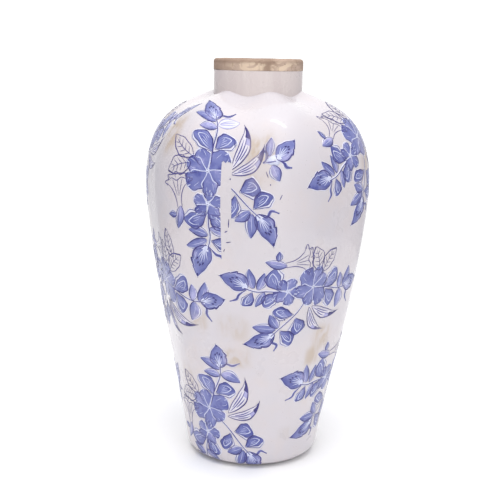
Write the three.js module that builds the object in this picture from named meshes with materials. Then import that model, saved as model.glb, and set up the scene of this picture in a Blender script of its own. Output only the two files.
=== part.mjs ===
// A tall lobed pottery vase: a melon-shaped body, a plain neck and a bare rim band.
// It is luted together from six clay sections, each a closed solid of its own.
// Millimetres, +Z up. The origin is the middle of the foot's underside, and the front faces -Y.

import * as THREE from 'three';
import { ParametricGeometry } from 'three/addons/geometries/ParametricGeometry.js';

const degrees = THREE.MathUtils.degToRad;

// Driving dimensions
const TOTAL_HEIGHT = 400;
const WALL = 7;
const FIT_GAP = 0.3;

const FOOT_LIFT = 2;
const FOOT_RADIUS = 50;
const FOOT_RING_WIDTH = 8;
const FOOT_EDGE_RADIUS = 1;
const FLOOR_UNDERSIDE = 4;

const BASE_RADIUS = 67.4;
const BASE_CORNER_RADIUS = 12;
const BASE_FLARE = degrees(8.5);

const BELLY_RADIUS = 109.7;
const BELLY_HEIGHT = 278;
const BELLY_FULLNESS_BELOW = 59;
const BELLY_FULLNESS_ABOVE = 67;
const FLARE_LENGTH = 70;

const NECK_RADIUS = 43.6;
const NECK_WALL = 6;
const NECK_ROOT_HEIGHT = 367.3;
const NECK_SEAT_HEIGHT = 358;
const SHOULDER_SLOPE = degrees(21);
const SHOULDER_LENGTH = 34;

const RIM_RADIUS = 44.1;
const RIM_HEIGHT = 11.2;
const RIM_OUTER_ROUND = 3;
const RIM_INNER_ROUND = 2;

const LOBE_COUNT = 6;
const LOBE_DEPTH = 3;
const SCALLOP_DEPTH = 2.5;
const GROOVE_BEARING = degrees(-103);
const LOBES_START_HEIGHT = 40;
const LOBES_FULL_HEIGHT = 150;
const SCALLOP_START_HEIGHT = 300;

// How finely the round and curved stretches are cut into flat facets
const AROUND = 60;
const CORNER_STEPS = 4;
const WALL_STEPS = 12;
const INSIDE_STEPS = 8;

// A station is one corner of a ring's section: its radius and height, the direction in which the lobes
// move it, and how far they move it at their crest.
function station(radius, height, push = 0, outward = 0, upward = 0) {
  return { radius, height, push, outward, upward };
}

function lobePush(height) {
  const grown = THREE.MathUtils.smoothstep(height, LOBES_START_HEIGHT, LOBES_FULL_HEIGHT);
  const scalloped = THREE.MathUtils.smoothstep(height, SCALLOP_START_HEIGHT, NECK_ROOT_HEIGHT);
  return grown * THREE.MathUtils.lerp(LOBE_DEPTH, SCALLOP_DEPTH, scalloped);
}

// Points along an outline, which runs upwards, as stations that the lobes push along the outline's normal.
// Close to the neck the push turns straight up, so that the hole for the neck stays round.
function lobedStations(outline, steps) {
  const stations = [];
  for (let step = 0; step <= steps; step += 1) {
    const point = outline.getPoint(step / steps);
    const tangent = outline.getTangent(step / steps);
    const clearOfNeck = THREE.MathUtils.smoothstep(point.x, NECK_RADIUS + FIT_GAP, NECK_RADIUS + WALL);
    const push = lobePush(point.y);
    stations.push(station(point.x, point.y, push, tangent.y * clearOfNeck, -tangent.x));
  }
  return stations;
}

function plainStations(outline, steps) {
  return outline.getPoints(steps).map((point) => station(point.x, point.y));
}

// A quarter-round from one bearing to another in the section's plane, 0 pointing outwards and 90 degrees up
function roundStations(radius, height, size, from, to, steps = CORNER_STEPS) {
  const stations = [];
  for (let step = 0; step <= steps; step += 1) {
    const angle = THREE.MathUtils.lerp(from, to, step / steps);
    stations.push(station(radius + size * Math.cos(angle), height + size * Math.sin(angle)));
  }
  return stations;
}

// A closed ring around the vase's axis. The stations run anticlockwise around its section: up the outside
// and down the inside.
function ringSolid(stations) {
  const count = stations.length;
  const place = (around, along, target) => {
    const corner = stations[Math.round(along * count) % count];
    const turn = (Math.round(around * AROUND) % AROUND) * 2 * Math.PI / AROUND;
    const push = -corner.push * Math.cos(LOBE_COUNT * turn);
    const radius = corner.radius + push * corner.outward;
    const bearing = GROOVE_BEARING + turn;
    target.set(radius * Math.cos(bearing), radius * Math.sin(bearing), corner.height + push * corner.upward);
  };
  return new ParametricGeometry(place, AROUND, count);
}

// The foot's outer corner is an arc that ends where the flaring wall begins.
const baseCornerCentre = new THREE.Vector2(
  BASE_RADIUS - BASE_CORNER_RADIUS * Math.cos(BASE_FLARE),
  FOOT_LIFT + BASE_CORNER_RADIUS,
);

function lowerOutline(inset) {
  const start = new THREE.Vector2(
    baseCornerCentre.x + (BASE_CORNER_RADIUS - inset) * Math.cos(BASE_FLARE),
    baseCornerCentre.y - (BASE_CORNER_RADIUS - inset) * Math.sin(BASE_FLARE),
  );
  const flare = new THREE.Vector2(Math.sin(BASE_FLARE), Math.cos(BASE_FLARE));
  const belly = new THREE.Vector2(BELLY_RADIUS - inset, BELLY_HEIGHT);
  return new THREE.CubicBezierCurve(
    start,
    start.clone().addScaledVector(flare, FLARE_LENGTH),
    new THREE.Vector2(belly.x, belly.y - BELLY_FULLNESS_BELOW),
    belly,
  );
}

function shoulderOutline(inset, endRadius, endHeight) {
  const belly = new THREE.Vector2(BELLY_RADIUS - inset, BELLY_HEIGHT);
  const end = new THREE.Vector2(endRadius, endHeight);
  const slope = new THREE.Vector2(Math.cos(SHOULDER_SLOPE), -Math.sin(SHOULDER_SLOPE));
  return new THREE.CubicBezierCurve(
    belly,
    new THREE.Vector2(belly.x, belly.y + BELLY_FULLNESS_ABOVE - inset),
    end.clone().addScaledVector(slope, SHOULDER_LENGTH),
    end,
  );
}

// The widest line of the belly, where the two walls meet on a flat seam: the lobes push it straight outwards.
function bellySeam() {
  return station(BELLY_RADIUS, BELLY_HEIGHT, lobePush(BELLY_HEIGHT), 1, 0);
}

// The unglazed ring of clay that the vase stands on
function footRing() {
  const outer = FOOT_RADIUS - FOOT_EDGE_RADIUS;
  const inner = FOOT_RADIUS - FOOT_RING_WIDTH + FOOT_EDGE_RADIUS;
  return ringSolid([
    ...roundStations(outer, FOOT_EDGE_RADIUS, FOOT_EDGE_RADIUS, degrees(-90), 0),
    station(FOOT_RADIUS, FLOOR_UNDERSIDE),
    station(FOOT_RADIUS - FOOT_RING_WIDTH, FLOOR_UNDERSIDE),
    ...roundStations(inner, FOOT_EDGE_RADIUS, FOOT_EDGE_RADIUS, degrees(180), degrees(270)),
  ]);
}

// The slab that closes the bottom. It rests on the foot ring, inside the lower wall.
function baseFloor() {
  const profile = [
    new THREE.Vector2(0, FLOOR_UNDERSIDE),
    new THREE.Vector2(FOOT_RADIUS, FLOOR_UNDERSIDE),
    new THREE.Vector2(FOOT_RADIUS, FLOOR_UNDERSIDE + WALL),
    new THREE.Vector2(0, FLOOR_UNDERSIDE + WALL),
  ];
  const slab = new THREE.LatheGeometry(profile, AROUND);
  slab.rotateX(Math.PI / 2);
  return slab;
}

// The tapering lower half of the body, from the rounded base edge to the widest line of the belly
function lowerWall() {
  const insideCorner = roundStations(
    baseCornerCentre.x,
    baseCornerCentre.y,
    BASE_CORNER_RADIUS - WALL,
    -BASE_FLARE,
    degrees(-60),
    2,
  );
  return ringSolid([
    station(FOOT_RADIUS + FIT_GAP, FOOT_LIFT),
    ...roundStations(
      baseCornerCentre.x,
      baseCornerCentre.y,
      BASE_CORNER_RADIUS,
      degrees(-90),
      -BASE_FLARE,
    ).slice(0, -1),
    ...lobedStations(lowerOutline(0), WALL_STEPS).slice(0, -1),
    bellySeam(),
    ...plainStations(lowerOutline(WALL), INSIDE_STEPS).reverse(),
    ...insideCorner.slice(1),
    station(FOOT_RADIUS + FIT_GAP, FLOOR_UNDERSIDE + WALL),
  ]);
}

// The belly and the lobed shoulder. Its hole is scalloped on top and has a seat for the neck collar.
function shoulderWall() {
  const holeRadius = NECK_RADIUS + FIT_GAP;
  const throatRadius = NECK_RADIUS - NECK_WALL;
  const outside = shoulderOutline(0, holeRadius, NECK_ROOT_HEIGHT);
  const inside = shoulderOutline(WALL, throatRadius, NECK_SEAT_HEIGHT - WALL);
  return ringSolid([
    bellySeam(),
    ...lobedStations(outside, WALL_STEPS).slice(1),
    station(holeRadius, NECK_SEAT_HEIGHT),
    station(throatRadius, NECK_SEAT_HEIGHT),
    ...plainStations(inside, INSIDE_STEPS).reverse(),
  ]);
}

// The plain glazed cylinder of the neck, set into the shoulder's seat
function neckCollar() {
  const top = TOTAL_HEIGHT - RIM_HEIGHT;
  return ringSolid([
    station(NECK_RADIUS, NECK_SEAT_HEIGHT),
    station(NECK_RADIUS, NECK_ROOT_HEIGHT),
    station(NECK_RADIUS, top),
    station(NECK_RADIUS - NECK_WALL, top),
    station(NECK_RADIUS - NECK_WALL, NECK_ROOT_HEIGHT),
    station(NECK_RADIUS - NECK_WALL, NECK_SEAT_HEIGHT),
  ]);
}

// The band of bare clay around the mouth, slightly wider than the neck, with rounded top edges
function rimBand() {
  const bottom = TOTAL_HEIGHT - RIM_HEIGHT;
  const mouthRadius = NECK_RADIUS - NECK_WALL;
  const outerRoundHeight = TOTAL_HEIGHT - RIM_OUTER_ROUND;
  const innerRoundHeight = TOTAL_HEIGHT - RIM_INNER_ROUND;
  return ringSolid([
    station(RIM_RADIUS, bottom),
    ...roundStations(RIM_RADIUS - RIM_OUTER_ROUND, outerRoundHeight, RIM_OUTER_ROUND, 0, degrees(90)),
    ...roundStations(mouthRadius + RIM_INNER_ROUND, innerRoundHeight, RIM_INNER_ROUND, degrees(90), degrees(180)),
    station(mouthRadius, bottom),
  ]);
}

function glaze(color) {
  return new THREE.MeshStandardMaterial({ color, roughness: 0.22, metalness: 0 });
}

function bareClay(color) {
  return new THREE.MeshStandardMaterial({ color, roughness: 0.85, metalness: 0 });
}

function piece(name, geometry, material) {
  const mesh = new THREE.Mesh(geometry, material);
  mesh.name = name;
  return mesh;
}

const vase = new THREE.Group();
vase.add(piece('foot_ring', footRing(), bareClay(0xc4ad94)));
vase.add(piece('base_floor', baseFloor(), glaze(0xdcd6d6)));
vase.add(piece('lower_wall', lowerWall(), glaze(0xdbd5d9)));
vase.add(piece('shoulder_wall', shoulderWall(), glaze(0xe4dfe2)));
vase.add(piece('neck_collar', neckCollar(), glaze(0xe5dbd8)));
vase.add(piece('rim_band', rimBand(), bareClay(0xbea591)));

export default vase;
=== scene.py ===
"""A tall lobed pottery vase with blue floral transfer sprays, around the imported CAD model.

Metres, +Z up, the front faces -Y. Bearings are in degrees around the vase's axis, 0 at the front and
positive to the right as seen from the front. "Along" is the distance in millimetres up the outside of
the body, from the edge of its flat underside to the neck.
"""
import math

import bmesh
import bpy
import numpy as np
from mathutils import Matrix, Vector


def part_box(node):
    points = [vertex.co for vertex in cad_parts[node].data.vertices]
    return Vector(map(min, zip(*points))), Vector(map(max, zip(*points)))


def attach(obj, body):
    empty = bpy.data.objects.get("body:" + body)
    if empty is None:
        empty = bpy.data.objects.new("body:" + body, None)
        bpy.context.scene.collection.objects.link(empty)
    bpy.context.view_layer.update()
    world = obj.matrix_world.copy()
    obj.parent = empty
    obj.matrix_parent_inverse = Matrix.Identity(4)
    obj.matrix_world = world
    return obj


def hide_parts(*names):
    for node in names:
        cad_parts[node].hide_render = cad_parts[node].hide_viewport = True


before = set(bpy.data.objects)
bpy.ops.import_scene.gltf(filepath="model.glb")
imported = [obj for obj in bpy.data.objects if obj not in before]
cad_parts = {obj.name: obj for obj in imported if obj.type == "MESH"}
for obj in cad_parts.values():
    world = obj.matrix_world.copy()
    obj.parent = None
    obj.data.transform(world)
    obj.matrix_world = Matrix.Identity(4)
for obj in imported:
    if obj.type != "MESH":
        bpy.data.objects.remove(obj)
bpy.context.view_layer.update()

MM = 0.001

# ---- Sizes, in millimetres, from the frame where it states them ----

FOOT_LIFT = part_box("lower_wall")[0][2] / MM
BELLY_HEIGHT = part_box("shoulder_wall")[0][2] / MM
NECK_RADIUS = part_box("neck_collar")[1][0] / MM
NECK_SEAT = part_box("neck_collar")[0][2] / MM
RIM_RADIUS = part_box("rim_band")[1][0] / MM
RIM_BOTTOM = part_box("rim_band")[0][2] / MM
RIM_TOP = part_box("rim_band")[1][2] / MM
FLOOR_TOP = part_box("base_floor")[1][2] / MM
FOOT_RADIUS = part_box("foot_ring")[1][0] / MM

WALL = 7.0
NECK_WALL = 6.0
BASE_RADIUS = 67.4
BASE_CORNER = 12.0
BASE_FLARE = math.radians(8.5)
FLARE_LENGTH = 70.0
BELLY_RADIUS = 109.7
FULLNESS_BELOW = 59.0
FULLNESS_ABOVE = 67.0
NECK_ROOT = 367.3
THROAT_RADIUS = NECK_RADIUS - NECK_WALL
HAIR_GAP = 0.05
SHOULDER_SLOPE = math.radians(21.0)
SHOULDER_LENGTH = 34.0

LOBES = 6
GROOVE_BEARING = -13.0
LOBE_DEPTH = 3.0
SCALLOP_DEPTH = 2.5
LOBES_START = 40.0
LOBES_FULL = 150.0
SCALLOP_START = 300.0


def smoothstep(value, low, high):
    share = np.clip((value - low) / (high - low), 0.0, 1.0)
    return share * share * (3.0 - 2.0 * share)


# ---- The outside of the body: an outline turned around the axis and pushed in and out by the lobes ----

def bezier(start, handle_a, handle_b, end, count):
    share = np.linspace(0.0, 1.0, count)[:, None]
    rest = 1.0 - share
    return (rest ** 3 * np.array(start) + 3 * rest ** 2 * share * np.array(handle_a)
            + 3 * rest * share ** 2 * np.array(handle_b) + share ** 3 * np.array(end))


def corner_centre():
    return np.array([BASE_RADIUS - BASE_CORNER * math.cos(BASE_FLARE), FOOT_LIFT + BASE_CORNER])


def wall_outline(inset, end_radius, end_height, fineness=160):
    """Radius and height of a wall's face, from the base corner up to the neck, inset from the outside."""
    centre = corner_centre()
    size = BASE_CORNER - inset
    turn = np.linspace(-math.pi / 2, -BASE_FLARE, 18)
    corner = centre + size * np.stack([np.cos(turn), np.sin(turn)], axis=1)
    flare = np.array([math.sin(BASE_FLARE), math.cos(BASE_FLARE)])
    belly = np.array([BELLY_RADIUS - inset, BELLY_HEIGHT])
    start = corner[-1]
    lower = bezier(start, start + flare * FLARE_LENGTH, belly - [0, FULLNESS_BELOW], belly, fineness)
    slope = np.array([math.cos(SHOULDER_SLOPE), -math.sin(SHOULDER_SLOPE)])
    end = np.array([end_radius, end_height])
    upper = bezier(belly, belly + [0, FULLNESS_ABOVE - inset], end + slope * SHOULDER_LENGTH, end, fineness)
    return np.concatenate([corner, lower[1:], upper[1:]])


class Surface:
    """The glazed outside of the body, addressed by bearing and distance along its outline."""

    def __init__(self):
        outline = wall_outline(0.0, NECK_RADIUS + HAIR_GAP, NECK_ROOT)
        steps = np.hypot(*np.diff(outline, axis=0).T)
        self.along = np.concatenate([[0.0], np.cumsum(steps)])
        self.radius, self.height = outline.T
        self.length = self.along[-1]
        self.rise = np.gradient(self.height, self.along)
        self.spread = np.gradient(self.radius, self.along)
        grown = smoothstep(self.height, LOBES_START, LOBES_FULL)
        scalloped = smoothstep(self.height, SCALLOP_START, NECK_ROOT)
        self.push = grown * (LOBE_DEPTH + (SCALLOP_DEPTH - LOBE_DEPTH) * scalloped)
        self.clear = smoothstep(self.radius, NECK_RADIUS, NECK_RADIUS + WALL)

    def read(self, values, along):
        return np.interp(along, self.along, values)

    def point(self, bearing, along):
        """Points in metres, for arrays of bearings and distances."""
        angle = np.radians(bearing)
        lobe = -np.cos(LOBES * np.radians(bearing - GROOVE_BEARING)) * self.read(self.push, along)
        outward = self.read(self.rise, along) * self.read(self.clear, along)
        radius = self.read(self.radius, along) + lobe * outward
        height = self.read(self.height, along) - lobe * self.read(self.spread, along)
        return np.stack([radius * np.sin(angle), -radius * np.cos(angle), height], axis=-1) * MM

    def normal(self, bearing, along):
        turn = 0.2
        step = 0.5
        around = self.point(bearing + turn, along) - self.point(bearing - turn, along)
        upward = self.point(bearing, along + step) - self.point(bearing, along - step)
        across = np.cross(around, upward)
        return across / np.linalg.norm(across, axis=-1, keepdims=True)


surface = Surface()


# ---- Wear: where the glaze is rubbed back to a warm brown ----

# Each spot: bearing, along, half width, half height and strength
WORN_SPOTS = (
    (2, 320, 8, 16, 1.0), (-52, 341, 7, 12, 1.0), (-12, 158, 9, 8, 0.5), (-11, 127, 8, 6, 0.8),
    (49, 143, 8, 8, 0.8), (42, 124, 6, 6, 0.85), (-33, 163, 5, 7, 0.6), (74, 318, 9, 12, 0.7),
    (-48, 96, 8, 9, 0.4), (30, 42, 7, 5, 0.2), (104, 250, 10, 14, 0.7), (131, 140, 12, 9, 0.7),
    (158, 345, 9, 12, 0.8), (172, 225, 8, 13, 0.7), (196, 90, 12, 8, 0.7), (222, 300, 9, 14, 0.8),
    (248, 180, 9, 10, 0.7), (-100, 120, 10, 8, 0.6), (150, 60, 9, 6, 0.5), (268, 350, 8, 11, 0.7),
)

# How much further than its half width and half height a spot fades out
SPOT_SPREAD = 1.6


def wear_at(bearing, along):
    total = np.zeros_like(bearing, dtype=float)
    for spot, spot_along, width, height, strength in WORN_SPOTS:
        turn = (bearing - spot + 180.0) % 360.0 - 180.0
        across = np.radians(turn) * surface.read(surface.radius, spot_along) / (width * SPOT_SPREAD)
        upward = (along - spot_along) / (height * SPOT_SPREAD)
        total += strength * np.exp(-(across ** 4 + upward ** 4))
    return np.clip(total, 0.0, 1.0)


# ---- Mesh helpers ----

SHARP_CORNER = math.radians(40.0)


def new_object(name, points, faces, material):
    mesh = bpy.data.meshes.new(name)
    mesh.from_pydata([tuple(p) for p in points], [], faces)
    mesh.validate()
    piece = bpy.data.objects.new(name, mesh)
    bpy.context.scene.collection.objects.link(piece)
    mesh.materials.append(material)
    mesh.polygons.foreach_set("use_smooth", [True] * len(mesh.polygons))
    mesh.set_sharp_from_angle(angle=SHARP_CORNER)
    return piece


def set_attribute(piece, name, values):
    layer = piece.data.attributes.new(name, "FLOAT", "POINT")
    layer.data.foreach_set("value", np.asarray(values, dtype=np.float32))


def ring_faces(rows, columns):
    """Faces of a closed ring: rows around its section, columns around the axis, both joined end to end."""
    faces = []
    for row in range(rows):
        after = (row + 1) % rows
        for column in range(columns):
            beside = (column + 1) % columns
            faces.append((row * columns + column, row * columns + beside,
                          after * columns + beside, after * columns + column))
    return faces


def turned_ring(name, section, material, ripple=None):
    """A closed ring turned from a section of (radius, height) in millimetres, up the outside first."""
    section = np.array(section)
    bearing = np.linspace(0.0, 2 * math.pi, TURNED_COLUMNS, endpoint=False)
    radius = np.repeat(section[:, :1], TURNED_COLUMNS, axis=1)
    height = np.repeat(section[:, 1:], TURNED_COLUMNS, axis=1)
    if ripple is not None:
        radius, height = ripple(radius, height, bearing[None, :])
    points = np.stack([radius * np.sin(bearing), -radius * np.cos(bearing), height], axis=-1) * MM
    return new_object(name, points.reshape(-1, 3), ring_faces(len(section), TURNED_COLUMNS), material)


def arc(centre_radius, centre_height, size, start, end, count):
    turn = np.radians(np.linspace(start, end, count))
    return [(centre_radius + size * math.cos(a), centre_height + size * math.sin(a)) for a in turn]


def divided(points, longest):
    """The same line of points with extra ones, so that no step is longer than given."""
    result = [points[0]]
    for before, after in zip(points, points[1:]):
        pieces = max(1, math.ceil(math.dist(before, after) / longest))
        for step in range(1, pieces + 1):
            share = step / pieces
            result.append(tuple(b + (a - b) * share for b, a in zip(before, after)))
    return result


# ---- Materials ----

def linear(red, green, blue):
    """A colour of 0 to 255 screen values as Blender's linear RGBA."""
    channels = []
    for value in (red, green, blue):
        share = value / 255.0
        channels.append(share / 12.92 if share <= 0.04045 else ((share + 0.055) / 1.055) ** 2.4)
    return (*channels, 1.0)


class Nodes:
    """A short way to write a node tree."""

    def __init__(self, tree):
        self.tree = tree

    def add(self, kind, values, **settings):
        """A new node with its settings, and its inputs linked or set."""
        node = self.tree.nodes.new(kind)
        for key, value in settings.items():
            setattr(node, key, value)
        self.put(node, values)
        return node

    def put(self, node, values):
        """Links or sets inputs. A tuple is a colour in 0 to 255 screen values."""
        for key, value in values.items():
            if isinstance(value, bpy.types.NodeSocket):
                self.tree.links.new(value, node.inputs[key])
            else:
                node.inputs[key].default_value = linear(*value) if isinstance(value, tuple) else value

    def between(self, value, low, high, start=0.0, end=1.0):
        if low > high:
            low, high, start, end = high, low, end, start
        values = {"Value": value, "From Min": low, "From Max": high, "To Min": start, "To Max": end}
        return self.add("ShaderNodeMapRange", values, interpolation_type="SMOOTHSTEP").outputs["Result"]

    def math(self, operation, first, second):
        return self.add("ShaderNodeMath", {0: first, 1: second}, operation=operation).outputs[0]

    def mix(self, share, first, second):
        return self.add("ShaderNodeMix", {0: share, 6: first, 7: second}, data_type="RGBA").outputs[2]

    def over(self, below, mask, strength, above):
        return self.mix(self.math("MULTIPLY", mask, strength), below, above)


class MaterialNodes(Nodes):
    """The node tree of a new material, with its textures placed in the object's own space."""

    def __init__(self, name, roughness, specular=0.5, coat=0.0, coat_roughness=0.05):
        self.material = bpy.data.materials.new(name)
        self.material.use_nodes = True
        super().__init__(self.material.node_tree)
        self.shader = self.tree.nodes["Principled BSDF"]
        self.put(self.shader, {"Roughness": roughness, "Specular IOR Level": specular,
                               "Coat Weight": coat, "Coat Roughness": coat_roughness})
        self.place = self.add("ShaderNodeTexCoord", {}).outputs["Object"]

    def noise(self, scale, detail=3.0, stretch=(1, 1, 1), rough=0.55, distortion=0.0):
        stretched = self.add("ShaderNodeMapping", {"Vector": self.place, "Scale": list(stretch)})
        values = {"Vector": stretched.outputs["Vector"], "Scale": scale, "Detail": detail,
                  "Roughness": rough, "Distortion": distortion}
        return self.add("ShaderNodeTexNoise", values).outputs["Fac"]

    def specks(self, scale, size):
        cells = self.add("ShaderNodeTexVoronoi", {"Vector": self.place, "Scale": scale})
        return self.between(cells.outputs["Distance"], size, size * 0.6)

    def attribute(self, name):
        return self.add("ShaderNodeAttribute", {}, attribute_name=name).outputs["Fac"]

    def bump(self, height, distance, strength=1.0):
        values = {"Height": height, "Distance": distance, "Strength": strength}
        self.put(self.shader, {"Normal": self.add("ShaderNodeBump", values).outputs["Normal"]})

    def finish(self, colour, roughness=None):
        self.put(self.shader, {"Base Color": colour})
        if roughness is not None:
            self.put(self.shader, {"Roughness": roughness})
        return self.material


def worn(nodes, colour, brown, strength):
    """The colour rubbed back to brown where the surface is worn, broken up into streaks."""
    streaks = nodes.between(nodes.noise(1.0, 4.0, (130, 130, 26)), 0.38, 0.58, 0.35, 1.0)
    patches = nodes.between(nodes.noise(1.0, 2.0, (60, 60, 34)), 0.36, 0.5)
    broken = nodes.math("MULTIPLY", streaks, patches)
    share = nodes.math("MULTIPLY", nodes.attribute("wear"), nodes.between(broken, 0.0, 1.0, 0.25, 1.0))
    return nodes.over(colour, share, strength, brown)


def body_glaze():
    """A warm white gloss glaze, faintly mottled pink and grey, with fine specks."""
    nodes = MaterialNodes("body_glaze", 0.3, specular=0.35, coat=0.6, coat_roughness=0.035)
    base = nodes.mix(nodes.between(nodes.noise(14.0, 2.0), 0.35, 0.65), (205, 198, 201), (201, 196, 201))
    warm = nodes.mix(nodes.between(nodes.noise(30.0, 3.0), 0.5, 0.75, 0.0, 0.5), base, (206, 195, 193))
    rubbed = worn(nodes, warm, (182, 163, 142), 0.9)
    speckled = nodes.over(rubbed, nodes.specks(210.0, 0.07), 0.5, (120, 104, 96))
    nodes.bump(nodes.noise(75.0, 2.0), 0.0004, 0.35)
    rough = nodes.between(nodes.noise(36.0, 3.0), 0.3, 0.7, 0.26, 0.36)
    return nodes.finish(speckled, rough)


def neck_glaze():
    """The neck's thinner glaze, pinker, with faint streaks down it."""
    nodes = MaterialNodes("neck_glaze", 0.3, coat=0.5, coat_roughness=0.08)
    streaks = nodes.between(nodes.noise(1.0, 3.0, (120, 120, 6)), 0.3, 0.7)
    base = nodes.mix(streaks, (206, 194, 192), (212, 201, 198))
    clouded = nodes.mix(nodes.between(nodes.noise(25.0, 3.0), 0.45, 0.75, 0.0, 0.6), base, (204, 192, 191))
    nodes.bump(nodes.noise(90.0, 2.0), 0.0004, 0.3)
    return nodes.finish(clouded, nodes.between(nodes.noise(50.0, 2.0), 0.3, 0.7, 0.24, 0.38))


def inner_glaze():
    """The plain glaze of the inside and of the floor."""
    nodes = MaterialNodes("inner_glaze", 0.35)
    base = nodes.mix(nodes.between(nodes.noise(18.0, 3.0), 0.35, 0.7), (222, 214, 208), (206, 197, 190))
    speckled = nodes.over(base, nodes.specks(160.0, 0.1), 0.5, (130, 112, 100))
    nodes.bump(nodes.noise(120.0, 3.0), 0.0005, 0.4)
    return nodes.finish(speckled, nodes.between(nodes.noise(40.0, 2.0), 0.3, 0.7, 0.3, 0.5))


def rim_clay():
    """Bare cream clay under a rubbed brown wash, deepest along the top edge and in broad stains, and darker
    on the left as painted shade.
    """
    nodes = MaterialNodes("rim_clay", 0.7, specular=0.3)
    wash = nodes.between(nodes.noise(1.0, 5.0, (40, 40, 130), rough=0.65), 0.34, 0.64)
    brown = nodes.mix(wash, (168, 144, 126), (198, 175, 158))
    patches = nodes.between(nodes.noise(1.0, 2.0, (55, 55, 120), distortion=0.6), 0.5, 0.56)
    bare = nodes.math("MULTIPLY", patches, nodes.between(nodes.attribute("stain_and_shade"), 0.75, 0.2))
    cream = nodes.over(brown, bare, 0.85, (222, 200, 176))
    streaks = nodes.between(nodes.noise(1.0, 4.0, (150, 150, 60)), 0.57, 0.68)
    streaked = nodes.over(cream, streaks, 0.5, (150, 126, 106))
    dark = nodes.between(nodes.noise(1.0, 4.0, (150, 150, 240)), 0.62, 0.7)
    speckled = nodes.over(streaked, dark, 0.6, (116, 94, 80))
    # Darkens the band with grime and, over its left side, with painted shade, both carried by the stain
    # attribute.
    grimy_and_shaded = nodes.over(speckled, nodes.attribute("stain_and_shade"), 0.8, (142, 118, 102))
    nodes.bump(nodes.noise(1.0, 5.0, (60, 60, 400)), 0.0005, 0.6)
    return nodes.finish(grimy_and_shaded, nodes.between(wash, 0.0, 1.0, 0.55, 0.8))


def foot_clay():
    """Bare fired clay, gritty, with grey scuffs from standing."""
    nodes = MaterialNodes("foot_clay", 0.85, specular=0.2)
    base = nodes.mix(nodes.between(nodes.noise(90.0, 4.0), 0.3, 0.7), (196, 172, 148), (172, 148, 126))
    scuffed = nodes.mix(nodes.between(nodes.noise(24.0, 3.0), 0.52, 0.7, 0.0, 0.5), base, (150, 138, 128))
    nodes.bump(nodes.noise(700.0, 3.0), 0.0004, 0.8)
    return nodes.finish(scuffed)


def paint(name, light, middle, deep, fade):
    """Transfer colour under gloss: it runs from light to deep by the tone painted into each shape."""
    nodes = MaterialNodes(name, 0.32, specular=0.35, coat=0.5, coat_roughness=0.05)
    cloud = nodes.between(nodes.noise(130.0, 3.0, rough=0.6), 0.25, 0.75, -0.22, 0.22)
    tone = nodes.math("ADD", nodes.attribute("tone"), cloud)
    low = nodes.mix(nodes.between(tone, 0.0, 0.5), light, middle)
    full = nodes.mix(nodes.between(tone, 0.5, 1.0), low, deep)
    rubbed = worn(nodes, full, (196, 184, 186), fade)
    nodes.bump(nodes.noise(260.0, 2.0), 0.0002, 0.3)
    return nodes.finish(rubbed, nodes.between(nodes.noise(60.0, 2.0), 0.3, 0.7, 0.28, 0.4))


def plain_floor():
    nodes = MaterialNodes("pale_floor", 0.9, specular=0.1)
    return nodes.finish(nodes.mix(nodes.noise(3.0, 2.0), (254, 254, 254), (253, 253, 253)))


# ---- The clay ----

BODY_COLUMNS = 288
BODY_ROWS = 210
TURNED_COLUMNS = 240

# How many points of the inside's lowest curve the floor covers
UNDER_FLOOR = 6


def make_body(material):
    """The lower and the shoulder wall as one glazed shell with smooth lobes."""
    outside = surface.length * np.linspace(0.0, 1.0, BODY_ROWS)
    bearing = np.linspace(0.0, 360.0, BODY_COLUMNS, endpoint=False)
    points = [surface.point(*np.meshgrid(bearing, outside)).reshape(-1, 3)]
    wear = [wear_at(*np.meshgrid(bearing, outside)).ravel()]

    inside = wall_outline(WALL, THROAT_RADIUS, NECK_SEAT - WALL, 40)[::-1][:-UNDER_FLOOR]
    hidden = [(NECK_RADIUS + HAIR_GAP, NECK_SEAT), (THROAT_RADIUS, NECK_SEAT), *map(tuple, inside)]
    hidden += [(FOOT_RADIUS + HAIR_GAP, FLOOR_TOP), (FOOT_RADIUS + HAIR_GAP, FOOT_LIFT)]
    angle = np.radians(bearing)
    for radius, height in hidden:
        level = np.full(BODY_COLUMNS, height)
        points.append(np.stack([radius * np.sin(angle), -radius * np.cos(angle), level], axis=-1) * MM)
        wear.append(np.zeros(BODY_COLUMNS))
    faces = ring_faces(BODY_ROWS + len(hidden), BODY_COLUMNS)
    body = new_object("glazed_body", np.concatenate(points), faces, material)
    set_attribute(body, "wear", np.concatenate(wear))
    return body


def make_neck(material):
    """The neck collar, a plain turned ring that stands in the shoulder's seat."""
    outside = divided([(NECK_RADIUS, NECK_SEAT), (NECK_RADIUS, RIM_BOTTOM)], 2.0)
    inside = divided([(THROAT_RADIUS, RIM_BOTTOM), (THROAT_RADIUS, NECK_SEAT)], 4.0)
    return turned_ring("neck", outside + inside, material)


def rim_ripple(radius, height, bearing):
    """Hand work: the band's face and its top wander by a few tenths of a millimetre."""
    wander = 0.12 * np.sin(3 * bearing + 0.7) + 0.08 * np.sin(7 * bearing + 2.0) + 0.05 * np.sin(13 * bearing)
    upper = smoothstep(height, RIM_BOTTOM, RIM_TOP)
    lower_edge = 0.22 * np.sin(5 * bearing + 1.1) * np.exp(-((height - RIM_BOTTOM) / 2.0) ** 2)
    return radius + wander - 0.25, height - np.abs(wander) * upper * 1.2 + np.maximum(lower_edge, 0.0)


def stain_and_shade_at(point):
    """How dark the band is: grime along its top edge and in broad places, and painted shade over its left
    side (the place at -62).
    """
    bearing = math.degrees(math.atan2(point.x, -point.y))
    around = 0.0
    # The place at -62 degrees, 34 wide, is painted shade over the band's left side; the other places are
    # stains.
    for place, width in ((-62, 34), (12, 5), (95, 30), (170, 40), (-130, 25)):
        turn = (bearing - place + 180.0) % 360.0 - 180.0
        around += math.exp(-(turn / width) ** 2)
    top = smoothstep(point.z / MM, RIM_TOP - 6.0, RIM_TOP - 1.5)
    return min(1.0, 0.7 * around + 0.55 * float(top))


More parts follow.
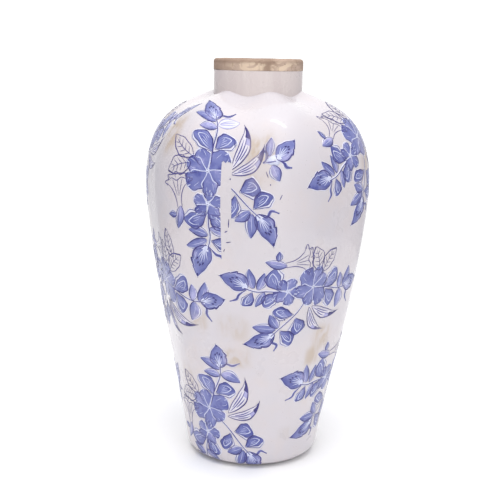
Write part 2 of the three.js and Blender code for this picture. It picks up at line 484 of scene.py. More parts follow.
def make_rim(material):
    """The bare clay band, with its rounded lip."""
    outer_round = 3.2
    inner_round = 2.4
    foot_round = 0.5
    section = arc(RIM_RADIUS - foot_round, RIM_BOTTOM + foot_round, foot_round, -90, 0, 4)
    section += divided([(RIM_RADIUS, RIM_BOTTOM + foot_round), (RIM_RADIUS, RIM_TOP - outer_round)], 1.2)[1:]
    section += arc(RIM_RADIUS - outer_round, RIM_TOP - outer_round, outer_round, 0, 90, 10)[1:]
    section += arc(THROAT_RADIUS + inner_round, RIM_TOP - inner_round, inner_round, 90, 180, 8)
    section += divided([(THROAT_RADIUS, RIM_TOP - inner_round), (THROAT_RADIUS, RIM_BOTTOM)], 2.0)[1:]
    rim = turned_ring("rim", section, material, rim_ripple)
    # The stain attribute holds the grime and the painted shade of the band's left side.
    set_attribute(rim, "stain_and_shade", [stain_and_shade_at(vertex.co) for vertex in rim.data.vertices])
    return rim


# ---- Painting: flat shapes in millimetres, later wrapped onto the body ----

class Layer:
    """One colour of a spray: points, faces, and a tone and a level for each point."""

    def __init__(self):
        self.points = []
        self.faces = []
        self.tones = []
        self.levels = []
        self.strokes = 0

    def add_grid(self, grid, tone):
        """Adds one stroke. It lies a hair above the strokes before it, so that none share a surface."""
        rows, columns, _ = grid.shape
        first = len(self.points)
        self.strokes += 1
        self.points.extend(grid.reshape(-1, 2))
        self.tones.extend(np.broadcast_to(tone, (rows, columns)).ravel())
        self.levels.extend([self.strokes * STROKE_STEP] * (rows * columns))
        for row in range(rows - 1):
            for column in range(columns - 1):
                corner = first + row * columns + column
                self.faces.append((corner, corner + 1, corner + columns + 1, corner + columns))

    def add_shaded(self, grid, base, along=0.0, across=0.0):
        """Adds one stroke whose tone rises along and across it."""
        rows, columns, _ = grid.shape
        rise = np.linspace(-0.5, 0.5, rows)[:, None] * along
        slant = np.linspace(-0.5, 0.5, columns)[None, :] * across
        self.add_grid(grid, base + rise + slant)

    def add_line(self, path, width, tone=0.6):
        """A brush line along a path, with a width for each point or one for all."""
        path = np.asarray(path, dtype=float)
        heading = np.gradient(path, axis=0)
        heading /= np.maximum(np.linalg.norm(heading, axis=1, keepdims=True), 1e-6)
        side = np.stack([-heading[:, 1], heading[:, 0]], axis=1)
        half = 0.5 * np.broadcast_to(width, len(path))[:, None]
        grid = np.stack([path + side * half, path - side * half], axis=1)
        self.add_grid(grid, tone)


# How far each kind of paint lies off the glaze, and how much further each next stroke and spray does
LIFT = {"halo": 0.04, "wash": 0.08, "light": 0.13, "line": 0.18}
STROKE_STEP = 0.0006
SPRAY_STEP = 0.002
PAINT_THICKNESS = 0.04

# How close to the body's base edge and to its neck the paint reaches
LOWEST_PAINT = 3.0
HIGHEST_PAINT = 2.5


class Spray:
    """The layers of one transfer, drawn in its own flat frame."""

    def __init__(self):
        self.layers = {name: Layer() for name in LIFT}
        self.halo, self.wash, self.light, self.line = self.layers.values()


def heading_of(degrees):
    return np.array([math.cos(math.radians(degrees)), math.sin(math.radians(degrees))])


def curve(points, count=16):
    """A smooth line through given points."""
    points = np.asarray(points, dtype=float)
    knots = np.concatenate([[0.0], np.cumsum(np.hypot(*np.diff(points, axis=0).T))])
    ends = np.concatenate([[2 * points[0] - points[1]], points, [2 * points[-1] - points[-2]]])
    result = []
    for value in np.linspace(0.0, knots[-1], count):
        index = min(np.searchsorted(knots, value, side="right") - 1, len(points) - 2)
        share = (value - knots[index]) / (knots[index + 1] - knots[index])
        p0, p1, p2, p3 = ends[index:index + 4]
        result.append(0.5 * (2 * p1 + (p2 - p0) * share + (2 * p0 - 5 * p1 + 4 * p2 - p3) * share ** 2
                             + (3 * p1 - p0 - 3 * p2 + p3) * share ** 3))
    return np.array(result)


def taper(count, full, start=0.25, end=0.15):
    share = np.linspace(0.0, 1.0, count)
    swell = np.sin(math.pi * np.clip(share * 0.9 + 0.1, 0, 1)) ** 0.7
    return full * np.maximum(swell, np.where(share < 0.5, start, end))


# The width of a blade's tip as a share of its full width, and the shape it has when nothing else is said
TIP_SHARE = 0.025
PLAIN_BLADE = {"belly": 0.45, "wave": 0.0, "phase": 0.0, "blunt": 0.0, "hook": 0.0, "ragged": 0.0}


def notches(along):
    """Three bites out of a leaf's edge towards its tip, as a depth of 0 to 1."""
    step = np.clip((along - 0.36) / 0.6, 0.0, 1.0) * 3.0
    rise = step - np.floor(step)
    return rise ** 1.6 * (along > 0.36) * (along < 0.96)


class Blade:
    """A leaf or petal: a bent centre line from base to tip with a width that swells and tapers.

    Its shape says where it is widest (belly), how much its edges wave, from which phase, how blunt it is,
    how far its tip hooks sideways, and how ragged the edge away from the hook is.
    """

    def __init__(self, base, tip, width, bend=0.0, **shape):
        self.base = np.array(base, dtype=float)
        self.tip = np.array(tip, dtype=float)
        self.width = width
        self.bend = bend
        self.shape = {**PLAIN_BLADE, **shape}
        self.length = np.linalg.norm(self.tip - self.base)

    def at(self, along, across):
        """The flat point at a share of the length and a share (-1 to 1) of the half width."""
        along = np.asarray(along, dtype=float)
        across = np.asarray(across, dtype=float)
        axis = (self.tip - self.base) / self.length
        side = np.array([-axis[1], axis[0]])
        belly, wave, phase, blunt, hook, ragged = self.shape.values()
        power = math.log(0.5) / math.log(belly)
        swell = np.abs(np.sin(math.pi * np.clip(along, 0, 1) ** power)) ** 0.85
        half = TIP_SHARE + (1 - TIP_SHARE) * swell
        if blunt:
            rounded = np.sqrt(np.clip(1 - (2 * along - 1) ** 4, 0, 1))
            rounded = rounded * (0.2 + 0.8 * smoothstep(along, 0.0, 0.55))
            half = half * (1 - blunt) + rounded * blunt
        ruffle = wave * np.sin(along * 15 + phase + 2.1 * np.sign(across)) * smoothstep(along, 0.0, 0.6)
        ruffle = 1 + ruffle - ragged * notches(along) * (across * hook < 0)
        offset = across * 0.5 * self.width * half * ruffle
        offset = offset + self.bend * np.sin(math.pi * along) * (1 - 0.3 * along) + hook * along ** 5
        reach = along * self.length
        return self.base + reach[..., None] * axis + offset[..., None] * side

    def grid(self, grow=0.0, start=0.0, end=1.0, low=-1.0, high=1.0):
        rows = np.linspace(start, end, max(7, int(self.length / 0.9)))
        columns = np.linspace(low, high, max(4, int(self.width / 2.0)))
        along, across = np.meshgrid(rows, columns, indexing="ij")
        if not grow:
            return self.at(along, across)
        axis = (self.tip - self.base) / self.length
        base = self.base - axis * grow * 0.4
        tip = self.tip + axis * grow * 0.9
        return Blade(base, tip, self.width + 2 * grow, self.bend, **self.shape).at(along, across)

    def edge(self, side, start=0.0, end=1.0, count=22):
        return self.at(np.linspace(start, end, count), np.full(count, side))

    def arch(self, side, count=18):
        """Shares along and across of a fold: up one flank, around below the tip and down the other."""
        turn = np.linspace(0.0, math.pi, count)
        return 0.1 + 0.74 * np.sin(turn), side * (0.16 - 0.6 * np.cos(turn))

    def line(self, across_from, across_to, start=0.1, end=0.9, count=12):
        return self.at(np.linspace(start, end, count), np.linspace(across_from, across_to, count))


def flanks(side, margin, full=1.0):
    """The shares across a blade that a fill covers: the whole of one flank and part of the other."""
    return (-margin, full) if side > 0 else (-full, margin)


def outline(spray, blade, thick=0.75, thin=0.4, dark_side=1):
    for side in (-1, 1):
        full, tone = (thick, 0.75) if side == dark_side else (thin, 0.45)
        spray.line.add_line(blade.edge(side, count=40), taper(40, full, 0.4, 0.5), tone)


def solid_leaf(spray, base, tip, width, bend=0.0, tone=0.5, side=1, **shape):
    """A small filled leaf with a pale rib, one pale margin and a hooked tip."""
    blade = Blade(base, tip, width, bend, hook=side * 1.2, **shape)
    spray.halo.add_grid(blade.grid(1.1), 0.5)
    spray.wash.add_shaded(blade.grid(0.0, 0.03, 1.0, *flanks(side, 0.7)), tone, 0.25, 0.35 * side)
    spray.light.add_line(blade.line(-0.05 * side, 0.1 * side, 0.12, 0.74), taper(12, 0.5), 0.4)
    outline(spray, blade, 1.0, 0.55, side)


def pale_leaf(spray, base, tip, width, bend=0.0):
    """A small leaf left almost white, with a thin violet outline and three violet veins."""
    blade = Blade(base, tip, width, bend, hook=1.5)
    spray.halo.add_grid(blade.grid(0.4), 0.5)
    for side in (-1, 1):
        spray.wash.add_line(blade.edge(side), taper(22, 1.0, 0.5, 0.5), 0.1)
    for across in (-0.5, 0.05, 0.5):
        spray.wash.add_line(blade.line(across * 0.4, across, 0.1, 0.8), taper(12, 0.9), 0.0)


def folded_leaf(spray, base, tip, width, bend=0.0, tone=0.45, side=1, stripes=3):
    """A broad leaf folded over itself: a deep lip around a paler middle, and a pale margin along one edge."""
    blade = Blade(base, tip, width, bend, belly=0.6, blunt=0.45, wave=0.08, phase=side, hook=-side * 1.5)
    spray.halo.add_grid(blade.grid(1.2), 0.5)
    spray.wash.add_shaded(blade.grid(0.0, 0.06, 1.0, *flanks(side, 0.72)), tone + 0.2, 0.2, 0.3 * side)
    along, across = blade.arch(side)
    share = np.linspace(0.08, 1.0, 7)[:, None]
    spray.wash.add_shaded(blade.at(0.1 + (along - 0.1) * share, across * share), tone, 0.2)
    spray.light.add_line(blade.at(along, across)[1:15], taper(14, 0.95, 0.3, 0.3), 0.7)
    for stripe in range(stripes):
        sideways = (-0.1 + 0.3 * stripe) * side
        path = blade.line(sideways * 0.6, sideways, 0.3 + 0.08 * stripe, 0.64 + 0.06 * (stripe % 2))
        spray.light.add_line(path, taper(12, 0.5), 0.2)
    spray.line.add_line(blade.line(-0.66 * side, -0.74 * side, 0.1, 0.8), taper(12, 0.45), 0.35)
    outline(spray, blade, 1.1, 0.65, side)


def terminal_leaf(spray, base, tip, width, bend=0.0, tone=0.5, side=1):
    """The large leaf at the end of a stem: ruffled, with a pale brush of stamens and dark seeds."""
    blade = Blade(base, tip, width, bend, belly=0.4, wave=0.05, phase=1.0, hook=-side * 3.0, ragged=0.2)
    spray.halo.add_grid(blade.grid(1.3), 0.5)
    spray.wash.add_shaded(blade.grid(), tone, 0.15, -0.5 * side)
    spray.light.add_grid(blade.grid(0.0, 0.0, 0.16, -0.5, 0.5), 0.9)
    for reach, across in ((0.5, -0.42), (0.56, -0.16), (0.52, 0.12), (0.42, 0.36), (0.4, -0.64)):
        spray.light.add_line(blade.line(0.05 * side, across * side, 0.05, reach), taper(12, 0.8), 0.8)
    for along, across in ((0.53, -0.44), (0.6, -0.17), (0.56, 0.12), (0.45, 0.38)):
        seed = blade.at(np.array([along, along + 0.08]), np.array([across, across + 0.06]) * side)
        spray.line.add_line(seed, np.array([1.5, 1.1]), 1.0)
    spray.light.add_line(blade.line(0.62 * side, 0.78 * side, 0.3, 0.82), taper(12, 0.5), 0.2)
    outline(spray, blade, 1.3, 0.65, side)
    point = blade.at(np.array([0.92, 1.0, 1.05]), np.zeros(3))
    spray.line.add_line(point, np.array([1.2, 0.7, 0.15]), 0.9)


def striped_leaf(spray, base, tip, width, bend=0.0, side=1, hook=0.0):
    """A long pale leaf drawn with dark wavy stripes, which runs out into a deep blue hooked tip."""
    blade = Blade(base, tip, width, bend, belly=0.5, wave=0.05, phase=2.0, hook=hook)
    spray.halo.add_grid(blade.grid(0.4), 0.0)
    spray.wash.add_shaded(blade.grid(0.0, 0.62, 0.95, *flanks(side, 0.1, 0.95)), 0.25, 0.9, 0.1)
    for across, start, reach in ((-0.5, 0.26, 0.6), (0.0, 0.08, 0.78), (0.5, 0.2, 0.7)):
        spray.wash.add_line(blade.line(across * 0.8, across, start, reach), taper(12, 1.3), 0.1)
        spray.line.add_line(blade.line(across * 0.8, across, start, reach), taper(12, 0.75), 0.5)
    spray.line.add_grid(blade.grid(0.0, 0.76, 1.0, *flanks(side, 0.35)), 0.9)
    end = blade.at(np.array([0.9, 1.0, 1.05]), np.zeros(3))
    spray.line.add_line(end, np.array([1.5, 0.8, 0.12]), 0.8)
    outline(spray, blade, 1.2, 0.8, side)


def line_leaf(spray, base, tip, width, bend=0.0, veins=4):
    """A leaf drawn in line only, with veins."""
    blade = Blade(base, tip, width, bend, belly=0.45, wave=0.07, phase=0.5)
    spray.line.add_line(blade.edge(-1), taper(22, 0.8, 0.7, 0.7), 0.35)
    spray.line.add_line(blade.edge(1), np.linspace(0.7, 1.5, 22), 0.75)
    spray.line.add_line(blade.line(0, 0, 0.0, 0.86), taper(12, 0.7), 0.35)
    for vein in range(veins):
        start = 0.16 + 0.17 * vein
        for side in (-1, 1):
            spray.line.add_line(blade.line(0.0, 0.72 * side, start, start + 0.14, 6), taper(6, 0.55), 0.35)


def tendril(spray, points, width=1.0):
    path = curve(points, 20)
    spray.halo.add_line(path, taper(20, width + 1.7), 0.5)
    spray.wash.add_line(path[4:], taper(16, width * 1.3, 0.2, 0.5), 0.5)
    spray.line.add_line(path, taper(20, width * 0.55, 0.6, 0.4), 0.6)


def stem(spray, points, width):
    """A pale stem with a dark line along it."""
    path = curve(points, 24)
    spray.halo.add_line(path, width, 0.6)
    offset = np.array([width * 0.08, width * 0.04])
    spray.line.add_line(path + offset, taper(24, 1.0, 0.8, 0.8), 0.6)


def flower(spray, centre, petals, tone=0.5, eye=1.6):
    """Petals given as (angle, length, width), parted by pale lines, around a pale eye."""
    centre = np.array(centre, dtype=float)
    for angle, length, width in petals:
        heading = heading_of(angle)
        shape = {"belly": 0.63, "blunt": 0.6, "wave": 0.1, "phase": angle}
        blade = Blade(centre + heading * 1.0, centre + heading * length, width, **shape)
        spray.halo.add_grid(blade.grid(1.2), 0.6)
        shade = tone + 0.1 * math.sin(math.radians(angle * 2))
        spray.wash.add_shaded(blade.grid(), shade, 0.1, -0.3)
        for across, reach in ((-0.5, 0.62), (0.42, 0.5)):
            path = blade.line(across * 0.8, across * 1.2, reach, reach + 0.3, 8)
            spray.light.add_line(path, taper(8, 0.5), 0.1)
        notch = blade.at(np.array([0.86, 1.04]), np.array([0.12, 0.12]))
        spray.light.add_line(notch, np.array([0.3, 1.5]), 0.7)
        spray.light.add_line(blade.edge(-1, 0.0, 0.9, 14), taper(14, 1.0, 0.8, 0.4), 0.6)
        spray.line.add_line(blade.edge(1, 0.3, 1.0, 14), taper(14, 0.65), 0.5)
        spray.line.add_line(blade.edge(-1, 0.62, 1.0, 10), taper(10, 0.6), 0.45)
    for step in range(10):
        heading = heading_of(step * 36 + 10)
        path = [centre + heading * 0.1, centre + heading * eye * 1.5]
        spray.light.add_line(path, np.array([eye * 0.9, 0.3]), 1.0)
    for turn in (0.3, 2.2, 4.0):
        dot = centre + eye * 0.7 * np.array([math.cos(turn), math.sin(turn)])
        spray.line.add_line([dot, dot + [0.5, 0.2]], 0.5, 0.5)


def trumpet(spray, mouth, throat, width):
    """A trumpet flower drawn in line, with a ruffled lip that folds over on one side."""
    mouth = np.array(mouth, dtype=float)
    throat = np.array(throat, dtype=float)
    axis = (mouth - throat) / np.linalg.norm(mouth - throat)
    side = np.array([-axis[1], axis[0]])

    def at(across, along):
        return mouth + side * across * width + axis * along

    for hand in (-1, 1):
        wall = curve([throat + side * hand * width * 0.1, at(hand * 0.14, -14), at(hand * 0.3, -6),
                      at(hand * 0.55, -1)], 18)
        spray.line.add_line(wall, taper(18, 0.8, 0.7, 0.6), 0.35)
    lip = []
    for step in range(41):
        turn = math.pi * (1.15 * step / 40 - 0.075)
        ruffle = 1.0 + 0.14 * math.sin(turn * 9) + 0.05 * math.sin(turn * 4)
        lip.append(at(-0.62 * math.cos(turn) * ruffle, 8.5 * math.sin(turn) * ruffle - 1))
    spray.line.add_line(np.array(lip), 0.75, 0.35)
    fold = curve([at(-0.56, 0), at(-0.25, 3.2), at(0.0, 0.8), at(0.25, 3.4), at(0.56, 0.5)], 18)
    spray.line.add_line(fold, taper(18, 0.7), 0.35)
    for share in (-0.3, -0.05, 0.22):
        crease = curve([at(share * 0.9, 2), at(share * 0.5, -6), at(share * 0.2, -13)], 10)
        spray.line.add_line(crease, taper(10, 0.55), 0.3)
    for share in (-0.4, 0.05, 0.38):
        crease = curve([at(share, 3.4), at(share * 1.15, 6.5)], 6)
        spray.line.add_line(crease, taper(6, 0.55), 0.3)


def upper_stem(spray):
    stem(spray, [(2, 6), (4, 22), (8, 40), (7, 55)], 2.8)
    folded_leaf(spray, (4, 17), (-14, 36), 17, -2, 0.4, -1)
    folded_leaf(spray, (6, 20), (25, 31), 17, 2, 0.5, 1)
    solid_leaf(spray, (8, 42), (-9, 43), 9, -1, 0.25)
    solid_leaf(spray, (7, 49), (-14, 57), 10, -2, 0.45)
    terminal_leaf(spray, (7, 51), (3, 76), 18, 1, 0.5, -1)
    tendril(spray, [(8, 53), (14, 57), (20, 57), (27, 62)], 2.0)


def faded_leaf(spray):
    pale_leaf(spray, (9, 45), (30, 48), 12, 2)


def blue_leaf(spray):
    solid_leaf(spray, (9, 44), (30, 42), 12, 2, 0.4, -1)


def lower_stem(spray):
    stem(spray, [(1, -36), (1, -50), (2, -62), (-1, -74)], 2.8)
    folded_leaf(spray, (0, -38), (-22, -48), 18, 2, 0.45, 1, 2)
    folded_leaf(spray, (2, -40), (17, -53), 14, 0, 0.5, -1, 2)
    solid_leaf(spray, (2, -53), (18, -61), 8, 1, 0.45)
    solid_leaf(spray, (0, -60), (-18, -54), 9, -1, 0.5)
    solid_leaf(spray, (-1, -64), (-21, -72), 10, 1, 0.5, -1)
    folded_leaf(spray, (3, -65), (19, -72), 12, 1, 0.5, 1, 2)
    terminal_leaf(spray, (-1, -70), (-15, -99), 19, -1, 0.6, -1)
    tendril(spray, [(1, -71), (7, -78), (12, -80), (15, -87)], 2.1)


def line_drawing(spray):
    """The part of the spray that is drawn in line: two leaves and a trumpet flower with its bud."""
    line_leaf(spray, (-15, 12), (-37, 30), 16, 2, 4)
    line_leaf(spray, (-17, 6), (-43, -3), 17, -2, 4)
    trumpet(spray, (-31, -12), (-27, -35), 24)
    solid_leaf(spray, (-26, -34), (-31, -55), 9, 1, 0.35)
    solid_leaf(spray, (-31, -43), (-41, -42), 6, 0, 0.8)


def striped_pair(spray):
    striped_leaf(spray, (22, 2), (41, 42), 11, -2, -1, 7)
    striped_leaf(spray, (22, -2), (55, 17), 10, -4, -1, 7)


def side_branch(spray):
    stem(spray, [(14, -9), (24, -16), (33, -25), (42, -34), (50, -41)], 2.0)
    folded_leaf(spray, (31, -18), (50, -14), 19, 2, 0.6, 1)
    folded_leaf(spray, (27, -21), (21, -42), 14, 2, 0.6, -1)
    solid_leaf(spray, (41, -35), (26, -44), 10, 1, 0.5)
    folded_leaf(spray, (44, -33), (60, -19), 15, 1, 0.6, 1, 2)
    solid_leaf(spray, (42, -37), (40, -60), 11, 1, 0.55)
    terminal_leaf(spray, (47, -38), (64, -65), 17, 2, 0.6, 1)
    tendril(spray, [(49, -37), (56, -40), (60, -34), (67, -36)], 2.1)


def blossoms(spray):
    large = ((114, 21, 15), (160, 22, 15), (218, 24, 19), (280, 23, 15), (338, 20, 15), (42, 25, 19))
    small = ((160, 14, 11), (222, 15, 11), (300, 16, 13), (10, 15, 11), (80, 12, 9))
    flower(spray, (1, -30), small, 0.55, 1.9)
    flower(spray, (0, 0), large, 0.55, 1.5)


def sprig(spray):
    """The torn-off end of a stem: its large leaf, two small ones and a tendril around a pale patch."""
    spray.light.add_line([(-4, -3), (0, 0), (4, 3), (7, 6)], np.array([3, 9, 11, 5]), 1.0)
    tendril(spray, [(-13, -4), (-12, 4), (-8, 5), (-5, -1), (-6, -6)], 2.4)
    tendril(spray, [(-6, -6), (-1, -2), (4, 2)], 1.2)
    terminal_leaf(spray, (4, 4), (13, 28), 17, 1, 0.45, -1)
    solid_leaf(spray, (-4, 3), (-10, 21), 8, 1, 0.35)
    solid_leaf(spray, (3, -3), (16, -14), 11, 0, 0.3)
    tendril(spray, [(7, 4), (12, 4), (16, 2), (21, 4)], 2.6)


def loose_leaf(spray):
    """A leaf drawn in line that lies on its own."""
    line_leaf(spray, (3, -12), (-5, 15), 13, 2, 4)


def draw_spray(parts):
    spray = Spray()
    for part in parts:
        part(spray)
    return spray


WHOLE = (upper_stem, blue_leaf, lower_stem, line_drawing, striped_pair, side_branch, blossoms)
FADED = (upper_stem, faded_leaf, lower_stem, line_drawing, striped_pair, side_branch, blossoms)
SPRIG = (sprig,)
LEAF = (loose_leaf,)

# Each transfer: the bearing, along and clockwise turn of its large flower, its size, how far its top leans
# over to the left, the parts of the spray that it shows, and whether it was cut to fit around a lobe.
TRANSFERS = (
    (-24.2, 309.5, 0, 1.0, 22, FADED, True),
    (33.6, 199.5, 90, 0.93, 0, WHOLE, False),
    (-33.5, 69, 12, 0.95, 0, WHOLE, False),
    (84, 95, 90, 0.95, 0, WHOLE, False),
    (70, 338, 57, 0.95, 0, WHOLE, False),
    (-58.5, 197, 98, 0.95, 0, WHOLE, False),
    (-93, 334, 52, 0.95, 0, WHOLE, False),
    (7, 320, 30, 0.9, 0, SPRIG, False),
    (-48, 236, 0, 1.0, 0, LEAF, False),
    (142, 316, 0, 1.0, 22, FADED, True),
    (207, 332, 50, 0.95, 0, WHOLE, False),
    (172, 197, 90, 0.95, 0, WHOLE, False),
    (206, 88, 90, 0.95, 0, WHOLE, False),
    (96, 232, 40, 1.0, 0, SPRIG, False),
    (276, 78, 20, 1.0, 0, SPRIG, False),
    (240, 172, 75, 1.0, 0, SPRIG, False),
    (150, 90, 100, 1.0, 0, LEAF, False),
    (226, 262, -20, 1.0, 0, LEAF, False),
)

# The cut: how far to the right of the flower its two edges lie, in degrees, and how high it reaches
CUT_START = 6.7
CUT_END = 12.2
CUT_TOP = 318.0
SPRAY_TOP = 76.0


def wrap(flat, bearing, along, turn, size, lean):
    """Flat spray points turned clockwise, scaled and laid on the body: returns bearings and distances."""
    angle = math.radians(turn)
    flat = np.array(flat) * size
    flat[:, 0] -= lean * (np.maximum(flat[:, 1], 0.0) / SPRAY_TOP) ** 2
    right = flat[:, 0] * math.cos(angle) + flat[:, 1] * math.sin(angle)
    upward = -flat[:, 0] * math.sin(angle) + flat[:, 1] * math.cos(angle)
    reach = along + upward
    radius = surface.read(surface.radius, np.clip(reach, 20.0, surface.length - 12.0))
    return bearing + np.degrees(right / radius), reach


def cut_band(piece, bearing):
    """Removes the paint between the cut's two edges, below its top, with clean cuts."""
    top = surface.read(surface.height, CUT_TOP) * MM
    work = bmesh.new()
    work.from_mesh(piece.data)
    for edge in (bearing + CUT_START, bearing + CUT_END):
        angle = math.radians(edge)
        low = [face for face in work.faces if face.calc_center_median().z < top]
        parts = set(low)
        for face in low:
            parts.update(face.edges)
            parts.update(face.verts)
        bmesh.ops.bisect_plane(work, geom=list(parts), plane_co=(0, 0, 0),
                               plane_no=(math.cos(angle), math.sin(angle), 0.0))
    lost = []
    for face in work.faces:
        middle = face.calc_center_median()
        turn = math.degrees(math.atan2(middle.x, -middle.y)) - bearing
        turn = (turn + 180.0) % 360.0 - 180.0
        if CUT_START < turn < CUT_END and middle.z < top:
            lost.append(face)
    bmesh.ops.delete(work, geom=lost, context="FACES")
    work.to_mesh(piece.data)
    work.free()


def thicken(piece):
    """Gives the paint a body, so that each patch is a thin closed solid."""
    solid = piece.modifiers.new("thickness", "SOLIDIFY")
    solid.thickness = PAINT_THICKNESS * MM
    solid.offset = -1.0


def face_outwards(piece):
    """Turns every face of a paint layer away from the vase's axis."""
    work = bmesh.new()
    work.from_mesh(piece.data)
    for face in work.faces:
        face.normal_update()
        middle = face.calc_center_median()
        outward = Vector((middle.x, middle.y, 0.02))
        if face.normal.dot(outward) < 0:
            face.normal_flip()
    work.to_mesh(piece.data)
    work.free()


def lay_paint(name, bearings, reach, lift, faces, tones, material, cut_at=None):
    """Lays paint over the body at bearings and distances, lifted off the glaze by some millimetres."""
    points = surface.point(bearings, reach) + surface.normal(bearings, reach) * (lift * MM)
    piece = new_object(name, points, faces, material)
    set_attribute(piece, "tone", tones)
    set_attribute(piece, "wear", wear_at(bearings, reach))
    if cut_at is not None:
        cut_band(piece, cut_at)
    face_outwards(piece)
    thicken(piece)
    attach(piece, "root")


def lay_layer(name, layer, kind, transfer, raised, material):
    """Lays one layer of a transfer, leaving out what would pass the body's base edge or its neck."""
    bearing, along, turn, size, lean, _, is_cut = transfer
    bearings, reach = wrap(layer.points, bearing, along, turn, size, lean)
    inside = (reach > LOWEST_PAINT) & (reach < surface.length - HIGHEST_PAINT)
    faces = [face for face in layer.faces if all(inside[corner] for corner in face)]
    used = sorted({corner for face in faces for corner in face})
    place = {corner: index for index, corner in enumerate(used)}
    faces = [tuple(place[corner] for corner in face) for face in faces]
    lift = (LIFT[kind] + raised + np.array(layer.levels)[used])[:, None]
    tones = np.array(layer.tones)[used]
    lay_paint(name, bearings[used], reach[used], lift, faces, tones, material, bearing if is_cut else None)


# Specks and dashes of colour that the brush or a torn edge left behind: bearing, along, length, lean in
# degrees from upright, and width
STRAY_MARKS = (
    (-11.6, 336, 7, -6, 0.9), (-12.8, 303, 1.6, 0, 1.1), (-13.4, 262, 8, 4, 0.9), (-14.8, 254, 3, 60, 1.0),
    (-13.6, 244, 5, 80, 0.8), (5.0, 308, 6, -20, 0.7), (6.6, 299, 1.4, 0, 1.0), (11.5, 288, 5, 25, 0.7),
    (-40, 262, 14, 12, 0.5), (-16, 236, 3, 30, 0.7), (17, 170, 2, 0, 0.8), (60, 200, 3, 20, 0.8),
    (208, 262, 8, 4, 0.9), (216, 303, 2, 0, 1.1), (214, 244, 5, 80, 0.8), (150, 140, 2, 0, 0.9),
    (100, 290, 3, 30, 0.8), (-95, 240, 4, -15, 0.8), (255, 270, 2, 0, 1.0), (175, 265, 3, 50, 0.8),
)
MARK_POINTS = 7


def paint_stray_marks(material):
    marks = Layer()
    for bearing, along, length, lean, width in STRAY_MARKS:
        heading = np.array([math.sin(math.radians(lean)), math.cos(math.radians(lean))])
        path = np.linspace(-0.5, 0.5, MARK_POINTS)[:, None] * heading * length
        radius = surface.read(surface.radius, along)
        path = np.stack([np.radians(bearing) * radius + path[:, 0], along + path[:, 1]], axis=1)
        marks.add_line(path, taper(MARK_POINTS, width, 0.5, 0.4), 0.8)
    across, reach = np.array(marks.points).T
    middles = np.repeat([mark[1] for mark in STRAY_MARKS], 2 * MARK_POINTS)
    bearings = np.degrees(across / surface.read(surface.radius, middles))
    lay_paint("stray_marks", bearings, reach, LIFT["line"], marks.faces, marks.tones, material)


def paint_transfers(paints):
    drawings = {}
    for number, transfer in enumerate(TRANSFERS, start=1):
        parts = transfer[5]
        if parts not in drawings:
            drawings[parts] = draw_spray(parts)
        for kind, layer in drawings[parts].layers.items():
            if layer.faces:
                name = f"spray_{number:02d}_{kind}"
                lay_layer(name, layer, kind, transfer, number * SPRAY_STEP, paints[kind])


# ---- Camera, light and floor ----

CAMERA_PLACE = Vector((0.0, -0.974, 0.408))
CAMERA_DOWN = math.radians(11.56)
CAMERA_LEFT = math.radians(0.305)
CAMERA_ROLL = math.radians(0.987)
CAMERA_LENS = 70.4

# The studio's white: how bright it is, its colour where it is darkest, and how it falls off to the left
# and right: the sideways part of the direction where it is darkest, of where it is full, and the share left
WORLD_STRENGTH = 1.19
WORLD_WHITE = (255, 255, 255)
WORLD_DARK = (0, 0, 69)
LEFT_FALL = (-0.6, -0.27, 0.46)
RIGHT_FALL = (0.6, 0.27, 0.5)
FLOOR_RADIUS = 0.75


def add_camera():
    camera = bpy.data.objects.new("camera", bpy.data.cameras.new("camera"))
    bpy.context.scene.collection.objects.link(camera)
    camera.data.lens = CAMERA_LENS
    camera.data.sensor_width = 36.0
    camera.data.clip_start = 0.01
    aim = (Matrix.Rotation(CAMERA_LEFT, 4, "Z") @ Matrix.Rotation(math.pi / 2 - CAMERA_DOWN, 4, "X")
           @ Matrix.Rotation(CAMERA_ROLL, 4, "Z"))
    camera.matrix_world = Matrix.Translation(CAMERA_PLACE) @ aim
    bpy.context.scene.camera = camera


def add_softbox(name, place, target, size, energy, mirrored=True):
    light = bpy.data.lights.new(name, "AREA")
    light.shape = "RECTANGLE"
    light.size = size[0]
    light.size_y = size[1]
    light.energy = energy
    lamp = bpy.data.objects.new(name, light)
    bpy.context.scene.collection.objects.link(lamp)
    lamp.location = place
    lamp.rotation_euler = (Vector(target) - Vector(place)).to_track_quat("-Z", "Y").to_euler()
    lamp.visible_camera = False
    lamp.visible_glossy = mirrored


def mirrored_place(bearing, along, distance):
    """Where a lamp stands so that a spot on the body reflects it into the camera."""
    spot = Vector(surface.point(np.array(bearing), np.array(along)))
    normal = Vector(surface.normal(np.array(bearing), np.array(along)))
    view = (CAMERA_PLACE - spot).normalized()
    return spot, spot + (2 * normal.dot(view) * normal - view) * distance


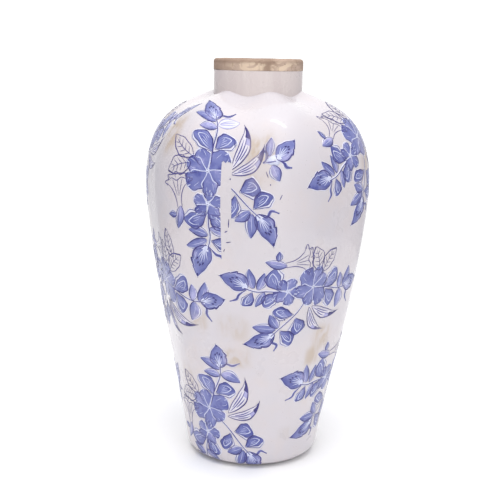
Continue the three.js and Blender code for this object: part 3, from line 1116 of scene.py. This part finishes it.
def add_world():
    """White in front, above and behind, darker at the sides. The camera itself sees white everywhere."""
    world = bpy.data.worlds.new("studio")
    world.use_nodes = True
    nodes = Nodes(world.node_tree)
    direction = nodes.add("ShaderNodeTexCoord", {}).outputs["Generated"]
    sideways = nodes.add("ShaderNodeSeparateXYZ", {0: direction}).outputs["X"]
    shade = nodes.math("MULTIPLY", nodes.between(sideways, *LEFT_FALL), nodes.between(sideways, *RIGHT_FALL))
    to_camera = nodes.add("ShaderNodeLightPath", {}).outputs["Is Camera Ray"]
    tint = nodes.mix(nodes.math("MAXIMUM", shade, to_camera), WORLD_DARK, WORLD_WHITE)
    nodes.put(nodes.tree.nodes["Background"], {"Color": tint, "Strength": WORLD_STRENGTH})
    bpy.context.scene.world = world


def add_light():
    add_world()
    spot, place = mirrored_place(12.5, 356, 1.1)
    add_softbox("window", place, spot, (0.1, 0.5), 1.1)
    add_softbox("overhead", (-0.05, -0.35, 1.6), (0, 0, 0.3), (1.2, 1.2), 12.4, mirrored=False)
    add_softbox("front", (0.5, -1.7, 0.8), (0, 0, 0.2), (1.0, 1.2), 3.2, mirrored=False)
    spot, place = mirrored_place(-62, 250, 1.3)
    add_softbox("edge", place, spot, (0.02, 0.7), 0.02)


def add_floor(material):
    turns = np.linspace(0.0, 2 * math.pi, 64, endpoint=False)
    edge = [(FLOOR_RADIUS * math.cos(turn), FLOOR_RADIUS * math.sin(turn), 0.0) for turn in turns]
    floor = new_object("floor", edge, [tuple(range(len(edge)))], material)


# ---- Making it ----

def dress_node(node, material):
    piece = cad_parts[node]
    piece.data.materials.clear()
    piece.data.materials.append(material)


def make_clay():
    inner = inner_glaze()
    body = make_body(body_glaze())
    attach(body, "root")
    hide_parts("lower_wall", "shoulder_wall")
    neck = make_neck(neck_glaze())
    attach(neck, "root")
    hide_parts("neck_collar")
    rim = make_rim(rim_clay())
    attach(rim, "root")
    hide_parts("rim_band")
    dress_node("base_floor", inner)
    dress_node("foot_ring", foot_clay())


def make_paints():
    return {
        "halo": paint("halo_paint", (214, 210, 220), (212, 212, 228), (208, 212, 232), 0.4),
        "wash": paint("wash_paint", (166, 164, 208), (110, 116, 172), (72, 78, 148), 0.45),
        "light": paint("light_paint", (180, 184, 220), (194, 198, 228), (210, 214, 236), 0.3),
        "line": paint("line_paint", (100, 94, 144), (70, 64, 134), (38, 32, 104), 0.5),
    }


bpy.context.scene.view_settings.view_transform = "Standard"
add_camera()
add_light()
add_floor(plain_floor())
make_clay()
paints = make_paints()
paint_transfers(paints)
paint_stray_marks(paints["line"])
